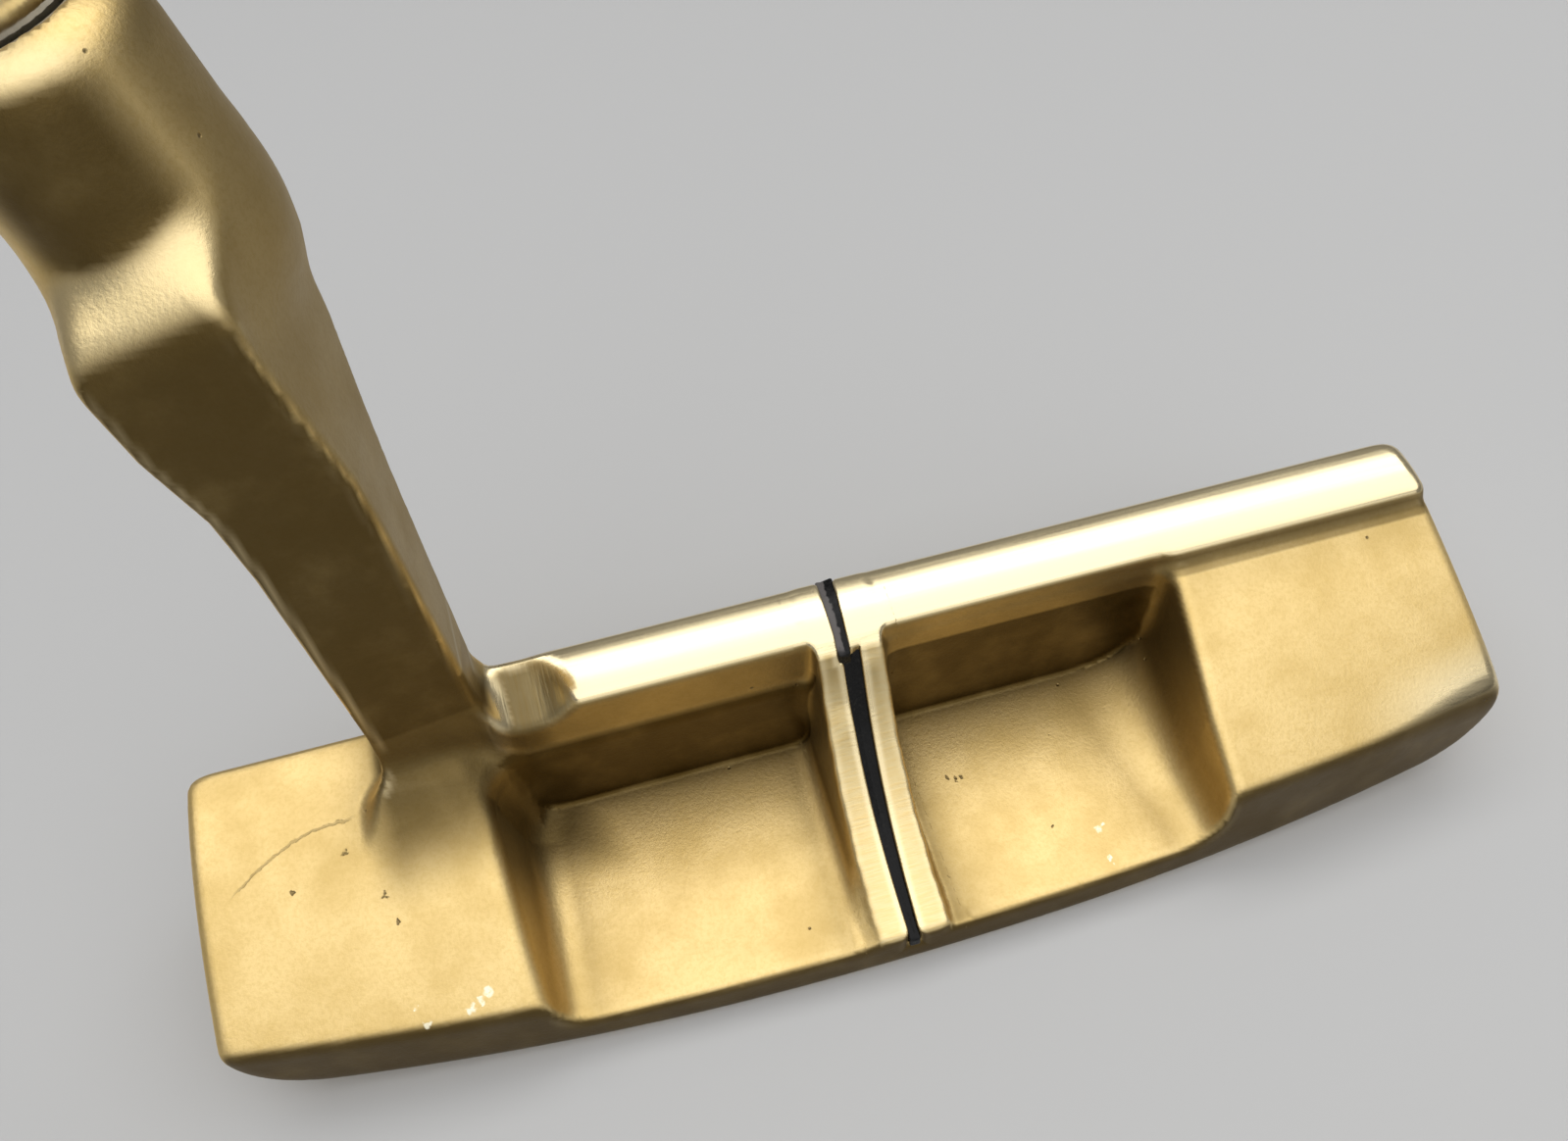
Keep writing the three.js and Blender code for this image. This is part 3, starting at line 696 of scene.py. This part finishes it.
# Where the finishes, and the painted light and shade, lie on the head. A mask fades in from a pair's first
# value to its second.
SURFACE_REACH = (0.5, 0.2)
SCALLOP_REACH = (0.3, 0.1)
RIB_MASK_HALF = 3.4
RIB_MASK_FRONT_Y = 6.2
SCALLOP_HEEL_X = -32.2
SCALLOP_REAR_Y = 5.2
SCALLOP_LOW_Z = 19.5
TOPLINE_MASK_REAR_Y = 5.3
NECK_START_Z = (24, 30)
FACE_TOP_Z = 26
BEVEL_LOW_Z = 17
BEVEL_REAR_Y = 5.0
KNEE_Z = 55
RECESS_REACHES = (1.5, 3, 5, 8)
SLOPE_REACH = 0.3
LOWEST_SLOPE = 0.3
EDGE_REACH = 0.9


def filed_masks(x, y, z, nz):
    """The hand-filed rib, and the scallop at the foot of the neck."""
    rib = smoothstep(*SURFACE_REACH, np.abs(rib_distance(x, y, z)))
    rib = rib * (np.abs(x - RIB_CENTRE) < RIB_MASK_HALF)
    rib = rib * smoothstep(0.2, 0.45, nz) * (y < RIB_MASK_FRONT_Y)
    scallop = smoothstep(*SCALLOP_REACH, np.abs(scallop_distance(x, y, z)))
    scallop = scallop * (x > SCALLOP_HEEL_X) * (y > SCALLOP_REAR_Y) * (z > SCALLOP_LOW_Z)
    return rib, scallop


def topline_mask(x, y, z, nz):
    on_top = smoothstep(*SURFACE_REACH, np.abs(z - topline_z(y)))
    on_top = on_top * (x > TOPLINE_HEEL_X) * (y > TOPLINE_MASK_REAR_Y)
    return on_top * smoothstep(0.3, 0.5, nz)


def pocket_wall_shade_mask(x, y, z, nz):
    """Painted shade on the steep walls of the two pockets, darker towards the face."""
    in_pocket = smoothstep(0.6, 0.2, np.minimum(heel_pocket(x, y, z), toe_pocket(x, y, z)))
    front = smoothstep(-0.9, -0.4, face_wall(x, y, z)) * smoothstep(20, 19.2, z)
    side = smoothstep(0.7, 0.3, nz) * (y > trailing_y(x) + 0.3)
    side = side * (0.35 + 0.35 * smoothstep(-9, 4, y))
    return in_pocket * np.maximum(front, side)


def recess_mask(points, normals):
    """Near 0 in the open, and larger the more brass stands around the point."""
    slope = np.clip(height_over(points, normals, SLOPE_REACH), LOWEST_SLOPE, 1)
    open_air = [np.clip(height_over(points, normals, reach) / slope, 0, 1) for reach in RECESS_REACHES]
    return 1 - np.mean(open_air, axis=0)


def shade_and_tarnish_mask(points, normals, wall_shade):
    """Painted shade, the darkest of its parts at each point: in hollows, where the brass also has real
    patina, on faces that look back and round the neck.
    """
    x, y, z = points.T
    nx, ny, _ = normals.T
    bevel = (z > BEVEL_LOW_Z) * (y > BEVEL_REAR_Y) * (z < FACE_TOP_Z)
    # Painted shadow in the step behind the topline at the toe.
    toe_step_shadow = smoothstep(0.25, 0.6, -ny) * bevel * smoothstep(27, 31, x)
    # Painted shade in the fillet round the foot of the neck.
    neck_foot_shade = smoothstep(10, 3, neck_post(x, y, z)) * (z < NECK_START_Z[1])
    neck_foot_shade = neck_foot_shade * smoothstep(0.2, -0.1, ny) * smoothstep(-45, -41, x)
    darkenings = [
        wall_shade,
        # Painted shade in recesses, partly the real patina that gathers there.
        0.9 * recess_mask(points, normals),
        # Painted shade on faces that look back, where the brass mirrors a dark surround.
        0.94 * smoothstep(0.6, 0.92, -ny) * (1 - 0.28 * bevel),
        0.8 * toe_step_shadow,
        0.86 * neck_foot_shade,
        # Painted shade on the toe side of the neck above the head.
        0.6 * smoothstep(*NECK_START_Z, z) * smoothstep(0.5, 0.9, nx),
    ]
    return np.max(darkenings, axis=0)


def head_masks(points, normals):
    """How polished, ground, tarnished and worn the brass is at each point, from 0 to 1. The tarnish mask
    is mostly painted shade, and the polish and wear masks also carry painted highlights on the toe corner
    and the knee top.
    """
    x, y, z = points.T
    _, ny, nz = normals.T
    on_rib, on_scallop = filed_masks(x, y, z, nz)
    on_topline = topline_mask(x, y, z, nz) * (1 - on_scallop)
    on_face = smoothstep(0.9, 0.98, ny) * (z < FACE_TOP_Z)
    # Painted highlight on the top of the knee, which faces up.
    knee_sheen = smoothstep(0.3, 0.6, nz) * (z > KNEE_Z) * smoothstep(13, 11, y)
    # The rubbed toe corner, lightened further as a painted highlight.
    toe_corner = smoothstep(42, 57, x) * smoothstep(6, 1.5, y - trailing_y(x))
    toe_corner = toe_corner * smoothstep(0.3, 0.6, nz)

    # Painted shade on the pocket walls.
    wall_shade = pocket_wall_shade_mask(x, y, z, nz)
    cleaned_and_lit = np.max([on_topline, on_rib, knee_sheen], axis=0)
    neck_front = smoothstep(*NECK_START_Z, z) * smoothstep(11, 13, y)
    edge = height_over(points, normals, EDGE_REACH) + height_over(points, -normals, EDGE_REACH)
    edge = smoothstep(0.15, 0.6, edge) * (1 - 0.6 * wall_shade) * (1 - neck_front)
    return {
        "polish_and_highlight": np.max([on_topline, toe_corner, 0.5 * on_face], axis=0),
        "ground": np.maximum(on_rib, on_scallop),
        "shade_and_tarnish": shade_and_tarnish_mask(points, normals, wall_shade) * (1 - 0.8 * cleaned_and_lit),
        "wear": np.maximum(edge, 0.6 * knee_sheen),
    }


HEAD_VOXEL = 0.43
HEAD_BLOCKS = [
    ((-61.2, -15.6, -1.2), (61.2, 17.2, 28.4)),
    ((-52.0, 3.2, 27.6), (-24.0, 27.2, 85.2)),
]
RIB_VOXEL = 0.17
RIB_BLOCK = ((-4.6, -16.5, 1.8), (5.0, 16.5, 27.0))
BLOCK_LAP = 0.4
BLOCK_EDGE = 0.5


def in_rib_block(x, y, z, margin):
    """Negative inside the block round the rib, less a margin; the block has its own, finer mesh."""
    low, high = RIB_BLOCK
    sides = [np.maximum(low[i] - v, v - high[i]) for i, v in enumerate((x, y, z))]
    return np.maximum(np.maximum(sides[0], sides[1]), sides[2]) + margin


def head_outside_block(x, y, z):
    return np.maximum(head_distance(x, y, z), -in_rib_block(x, y, z, BLOCK_LAP))


def head_inside_block(x, y, z):
    return np.maximum(head_distance(x, y, z), in_rib_block(x, y, z, 0))


def build_head_part(name, distance, blocks, voxel, material):
    points, faces, normals = mesh_field(distance, blocks, voxel)
    part = add_object(name, points, faces, normals)
    for mask, values in head_masks(points, normals).items():
        add_mask(part, mask, values)
    finish_piece(part, material, "head_casting")


brass = brass_material()
build_head_part("putter_head", head_outside_block, HEAD_BLOCKS, HEAD_VOXEL, brass)
rib_edges = (tuple(v - BLOCK_EDGE for v in RIB_BLOCK[0]), tuple(v + BLOCK_EDGE for v in RIB_BLOCK[1]))
build_head_part("sight_rib", head_inside_block, [rib_edges], RIB_VOXEL, brass)

# ---- Sight lines ---------------------------------------------------------------------------------

FILL_VOXEL = 0.14
FILL_LAP = 0.07
TOPLINE_FILL_BLOCK = ((-1.6, 4.4, 19), (1.4, 14.6, 26.5))
RIB_FILL_BLOCK = ((-1.6, -15.0, 0.8), (1.8, 7.0, 25.5))
ENAMEL_SPECULAR = 0.16


def enamel_material():
    n = Nodes("black_enamel")
    flow = n.noise(700, 3)
    dust = n.noise(2600, 4)
    axes = n.axes(n.rough_place())
    # Painted reflection: the left of the topline slot's black enamel turns grey, as glossy paint catching
    # light from above.
    left_half = n.math("MULTIPLY", n.remap(axes["X"], -0.0001, -0.0003), 0.8)
    slot_reflection = n.math("MULTIPLY", left_half, n.remap(axes["Y"], 0.0050, 0.0060))
    colour = n.blend(n.remap(dust, 0.55, 0.8), (0.005, 0.005, 0.005), (0.022, 0.021, 0.019))
    colour = n.blend(slot_reflection, colour, (0.13, 0.12, 0.115))
    n.bump(flow, 0.0002, 0.4)
    n.shader.inputs["Specular IOR Level"].default_value = ENAMEL_SPECULAR
    return n.finish(colour, n.remap(dust, 0.35, 0.7, 0.2, 0.45))


def topline_paint(x, y, z):
    hollow = topline_z(y) - 0.3 + 0.25 * np.abs(x + 0.35)
    paint = smooth_max(topline_slot(x, y, z) - FILL_LAP, z - hollow, 0.15)
    return smooth_max(paint, (y - face_y(z)) * math.cos(LOFT) + 0.35, 0.3)


def rib_paint(x, y, z):
    hollow = above_rib(y, z) + 0.42 - 0.25 * np.abs(x - RIB_CENTRE)
    paint = smooth_max(rib_slot(x, y, z) - FILL_LAP, hollow, 0.15)
    paint = smooth_max(paint, z - topline_z(y) + 0.2, 0.15)
    return smooth_max(paint, trailing_y(x) - y + 0.2, 0.3)


def build_paint(name, distance, block, node, material):
    points, faces, normals = mesh_field(distance, [block], FILL_VOXEL)
    finish_piece(add_object(name, points, faces, normals), material, node)


enamel = enamel_material()
build_paint("topline_paint", topline_paint, TOPLINE_FILL_BLOCK, "topline_sight_fill", enamel)
build_paint("rib_paint", rib_paint, RIB_FILL_BLOCK, "rib_sight_fill", enamel)


# ---- Shaft and grip ------------------------------------------------------------------------------

SHAFT_FRAME_Z = 58
CLUB_END = 829.47
CAP_THICKNESS = 3
GAP = 0.3

SHAFT_BOTTOM = 3.44
SHAFT_TOP = CLUB_END - CAP_THICKNESS - GAP
SHAFT_TIP_RADIUS = 4.7
SHAFT_BUTT_RADIUS = 7.4
SHAFT_WALL = 0.6
SHAFT_STEPS = 13
SHAFT_TIP_LENGTH = 150
STEP_LENGTH = 36
STEP_RAMP = 1.6
SHAFT_AROUND = 96

GRIP_LENGTH = 267
GRIP_BOTTOM = CLUB_END - GRIP_LENGTH
GRIP_BODY = SHAFT_TOP - GRIP_BOTTOM
GRIP_BORE_RADIUS = 8.05
GRIP_TIP_WIDTH = 19.5
GRIP_WIDTH = 25.0
GRIP_FLAT = 10.8
GRIP_TIP_BACK = 9.8
GRIP_BUTT_BACK = 18.5
GRIP_AROUND = 144
GRIP_RINGS = 520
DIMPLE_PITCH = (3.0, 3.6)
DIMPLE_DEPTH = 0.4
GROOVE_PITCH = 3.0
GROOVE_DEPTH = 0.28
PATTERN_HALF_WIDTH = 6.2
PLAIN_BAND_SHARE = 0.62
VENT_RADIUS = 1.6


def club_points(points):
    """Points in the shaft's frame (+X thumb side, +Z up the shaft) moved into the club's frame."""
    points = np.asarray(points, float)
    origin = (AXIS_X - (SHAFT_FRAME_Z - AXIS_Z) / math.tan(LIE), HOSEL_Y, SHAFT_FRAME_Z)
    across = np.array((math.sin(LIE), 0, math.cos(LIE)))
    aside = np.array((0, 1, 0))
    up = np.array((-math.cos(LIE), 0, math.sin(LIE)))
    return points[:, :1] * across + points[:, 1:2] * aside + points[:, 2:] * up + np.array(origin)


def skin(name, rings):
    """An object whose surface runs through equal rings of points, from the last back to the first."""
    count = len(rings[0])
    total = len(rings)
    faces = []
    for i in range(total):
        j = (i + 1) % total
        for k in range(count):
            m = (k + 1) % count
            faces.append((i * count + k, i * count + m, j * count + m, j * count + k))
    return add_object(name, club_points(np.concatenate(rings)), faces)


def circle(radius, height, count):
    turn = np.arange(count) * 2 * math.pi / count
    return np.stack([radius * np.cos(turn), radius * np.sin(turn), np.full(count, height)], axis=1)


def chrome_material():
    n = Nodes("chrome")
    haze = n.noise(260, 4)
    lines = n.noise(1.0, 3, 0.6, n.stretched((40, 40, 2600)))
    n.bump(lines, 0.000004, 0.4)
    colour = n.blend(n.remap(haze, 0.4, 0.8), (0.78, 0.79, 0.80), (0.70, 0.71, 0.73))
    return n.finish(colour, n.remap(haze, 0.35, 0.75, 0.06, 0.16), 1.0)


def build_shaft():
    rise = (SHAFT_BUTT_RADIUS - SHAFT_TIP_RADIUS) / SHAFT_STEPS
    profile = [(SHAFT_TIP_RADIUS - 0.3, SHAFT_BOTTOM), (SHAFT_TIP_RADIUS, SHAFT_BOTTOM + 0.3)]
    for step in range(SHAFT_STEPS):
        height = SHAFT_BOTTOM + SHAFT_TIP_LENGTH + step * STEP_LENGTH
        radius = SHAFT_TIP_RADIUS + step * rise
        for share in (0.0, 0.1, 0.3, 0.7, 0.9, 1.0):
            swell = smoothstep(0, 1, share)
            profile.append((radius + rise * swell, height + STEP_RAMP * (share - 0.5)))
    profile += [(SHAFT_BUTT_RADIUS, SHAFT_TOP - 0.2), (SHAFT_BUTT_RADIUS - 0.2, SHAFT_TOP)]
    profile += [(SHAFT_BUTT_RADIUS - SHAFT_WALL, SHAFT_TOP), (SHAFT_TIP_RADIUS - SHAFT_WALL, SHAFT_BOTTOM)]
    rings = [circle(radius, height, SHAFT_AROUND) for radius, height in profile]
    shaft = skin("stepped_shaft", rings)
    finish_piece(shaft, chrome_material(), "shaft")


def curve(points, count):
    """Points along a Bezier curve of any degree, without its last point."""
    points = [np.array(p, float) for p in points]
    found = []
    for t in np.arange(count) / count:
        level = points
        while len(level) > 1:
            level = [a * (1 - t) + b * t for a, b in zip(level[:-1], level[1:])]
        found.append(level[0])
    return found


def grip_outline(width, front, back):
    """Evenly spaced outline: thumb flat in front (+X), round behind, width across Y."""
    half = width / 2
    flat = half * 0.62
    loop = curve([(front, -flat), (front, flat)], 60)
    loop += curve([(front, flat), (front, half), (front - 5, half)], 60)
    loop += curve([(front - 5, half), (-back * 0.45, half), (-back, half * 0.62), (-back, 0)], 120)
    loop += curve([(-back, 0), (-back, -half * 0.62), (-back * 0.45, -half), (front - 5, -half)], 120)
    loop += curve([(front - 5, -half), (front, -half), (front, -flat)], 60)
    loop = np.array(loop)
    steps = np.linalg.norm(np.roll(loop, -1, axis=0) - loop, axis=1)
    along = np.concatenate([[0], np.cumsum(steps)])
    wanted = np.arange(GRIP_AROUND) * along[-1] / GRIP_AROUND
    closed = np.vstack([loop, loop[:1]])
    return np.stack([np.interp(wanted, along, closed[:, i]) for i in (0, 1)], axis=1)


def grip_relief(place, height, front):
    """Depth of the moulded pattern: dimples on the thumb flat, fine ribs round the sides and back."""
    on_flat = smoothstep(front - 0.7, front - 0.2, place[:, 0])
    cell_u = (place[:, 1] / DIMPLE_PITCH[0] + 0.5) % 1 - 0.5
    cell_v = (height / DIMPLE_PITCH[1]) % 1 - 0.5
    dimple = smoothstep(0.36, 0.2, np.hypot(cell_u, cell_v)) * (np.abs(place[:, 1]) < PATTERN_HALF_WIDTH)
    groove = 0.5 + 0.5 * math.cos(2 * math.pi * height / GROOVE_PITCH)
    patterned = smoothstep(14, 16, height) * smoothstep(GRIP_BODY - 12, GRIP_BODY - 14, height)
    plain_band = smoothstep(3, 4, abs(height - PLAIN_BAND_SHARE * GRIP_BODY))
    relief = DIMPLE_DEPTH * on_flat * dimple + GROOVE_DEPTH * (1 - on_flat) * groove ** 3
    return patterned * plain_band * relief


def build_grip():
    rings = []
    for height in np.linspace(0, GRIP_BODY, GRIP_RINGS):
        t = height / GRIP_BODY
        width = GRIP_TIP_WIDTH + (GRIP_WIDTH - GRIP_TIP_WIDTH) * t
        back = GRIP_TIP_BACK + (GRIP_BUTT_BACK - GRIP_TIP_BACK) * smoothstep(0.45, 0.9, t)
        front = GRIP_FLAT - 1.5 * (1 - t)
        outline = grip_outline(width, front, back)
        inward = -outline / np.linalg.norm(outline, axis=1)[:, None]
        rounding = 0.9 * smoothstep(1.2, 0, height) + 0.3 * smoothstep(GRIP_BODY - 0.5, GRIP_BODY, height)
        depth = grip_relief(outline, height, front) + rounding
        placed = outline + inward * (depth + 0.03)[:, None]
        rings.append(np.column_stack([placed, np.full(GRIP_AROUND, GRIP_BOTTOM + height)]))
    turn = np.arctan2(rings[0][:, 1], rings[0][:, 0])
    for height in (GRIP_BOTTOM + GRIP_BODY, GRIP_BOTTOM):
        bore = np.stack([np.cos(turn), np.sin(turn)], axis=1) * GRIP_BORE_RADIUS
        rings.append(np.column_stack([bore, np.full(GRIP_AROUND, height)]))
    grip = skin("pistol_grip", rings)
    finish_piece(grip, rubber_material(), "grip")


def rubber_material():
    n = Nodes("grip_rubber")
    grain = n.noise(2400, 3)
    wear = n.noise(45, 3)
    n.bump(grain, 0.00008, 0.5)
    colour = n.blend(n.remap(wear, 0.35, 0.7), (0.016, 0.016, 0.017), (0.035, 0.034, 0.033))
    return n.finish(colour, n.remap(wear, 0.3, 0.7, 0.55, 0.75))


def build_cap():
    outline = grip_outline(GRIP_WIDTH, GRIP_FLAT, GRIP_BUTT_BACK)
    turn = np.arctan2(outline[:, 1], outline[:, 0])
    hole = np.stack([np.cos(turn), np.sin(turn)], axis=1) * VENT_RADIUS
    top, bottom = CLUB_END, CLUB_END - CAP_THICKNESS
    # Each level is a share of the way from the outline in to the vent, and a height.
    levels = [(0.0, bottom), (0.0, top - 1.2), (0.02, top - 0.6), (0.07, top - 0.15), (0.14, top)]
    levels += [(0.3, top), (0.34, top - 0.35), (0.40, top - 0.35), (0.44, top), (0.9, top)]
    levels += [(0.97, top - 0.1), (1.0, top - 0.4), (1.0, bottom)]
    rings = []
    for share, height in levels:
        ring = outline * (1 - share) + hole * share
        rings.append(np.column_stack([ring, np.full(GRIP_AROUND, height)]))
    cap = skin("butt_cap", rings)
    finish_piece(cap, plain_material("cap_plastic", (0.02, 0.02, 0.021), 0.42), "grip_cap")


def plain_material(name, colour, roughness, lighter=1.5, scale=900):
    """A dull finish whose colour and roughness wander a little."""
    n = Nodes(name)
    spread = n.noise(scale, 4)
    n.bump(spread, 0.00004, 0.5)
    pale = tuple(min(1.0, value * lighter) for value in colour)
    shade = n.blend(n.remap(spread, 0.35, 0.7), colour, pale)
    return n.finish(shade, n.remap(spread, 0.3, 0.7, roughness, roughness + 0.12))


def paint_node(name, material):
    """A CAD node that keeps its own shape gets a material."""
    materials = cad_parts[name].data.materials
    materials.clear()
    materials.append(material)


build_shaft()
build_grip()
build_cap()
paint_node("hosel_epoxy", plain_material("epoxy", (0.32, 0.27, 0.18), 0.25, 1.2))
paint_node("shaft_tip_plug", plain_material("cork", (0.42, 0.27, 0.13), 0.85, 1.6, 1400))
paint_node("grip_tape", plain_material("paper_tape", (0.62, 0.58, 0.48), 0.8, 1.15, 2200))

# ---- Stage ---------------------------------------------------------------------------------------


FLOOR_HALF = 8
FLOOR_COLOUR = (0.48, 0.48, 0.475, 1)
FLOOR_ROUGHNESS = 0.7
WORLD_COLOUR = (0.6, 0.6, 0.62, 1)
WORLD_STRENGTH = 0.36

# Name, place, target, size and power of each light.
LIGHTS = [
    ("front_strip", (0.03, 0.46, 1.1), (0.03, 0.46, 0), (2.1, 0.52), 7.5),
    ("rear_softbox", (0.25, -0.53, 1.1), (0.25, -0.53, 0), (2.6, 1.46), 16),
    ("rear_panel", (0.1, -1.6, 0.65), (0.1, 0, 0.4), (2.4, 1.25), 8.5),
]


def make_floor():
    mesh = bpy.data.meshes.new("floor")
    corners = [(-1, -1), (1, -1), (1, 1), (-1, 1)]
    mesh.from_pydata([(x * FLOOR_HALF, y * FLOOR_HALF, 0) for x, y in corners], [], [(0, 1, 2, 3)])
    floor = bpy.data.objects.new("floor", mesh)
    bpy.context.scene.collection.objects.link(floor)
    material = bpy.data.materials.new("floor")
    material.use_nodes = True
    shader = material.node_tree.nodes["Principled BSDF"]
    shader.inputs["Base Color"].default_value = FLOOR_COLOUR
    shader.inputs["Roughness"].default_value = FLOOR_ROUGHNESS
    mesh.materials.append(material)


def area_light(name, place, target, size, power):
    data = bpy.data.lights.new(name, "AREA")
    data.shape = "RECTANGLE"
    data.size, data.size_y = size
    data.energy = power
    lamp = bpy.data.objects.new(name, data)
    lamp.location = place
    lamp.rotation_euler = (Vector(target) - Vector(place)).to_track_quat("-Z", "Y").to_euler()
    bpy.context.scene.collection.objects.link(lamp)


def make_world():
    world = bpy.data.worlds.new("world")
    bpy.context.scene.world = world
    world.use_nodes = True
    background = world.node_tree.nodes["Background"]
    background.inputs["Color"].default_value = WORLD_COLOUR
    background.inputs["Strength"].default_value = WORLD_STRENGTH


make_floor()
for light in LIGHTS:
    area_light(*light)
make_world()
bpy.context.scene.view_settings.view_transform = "Standard"
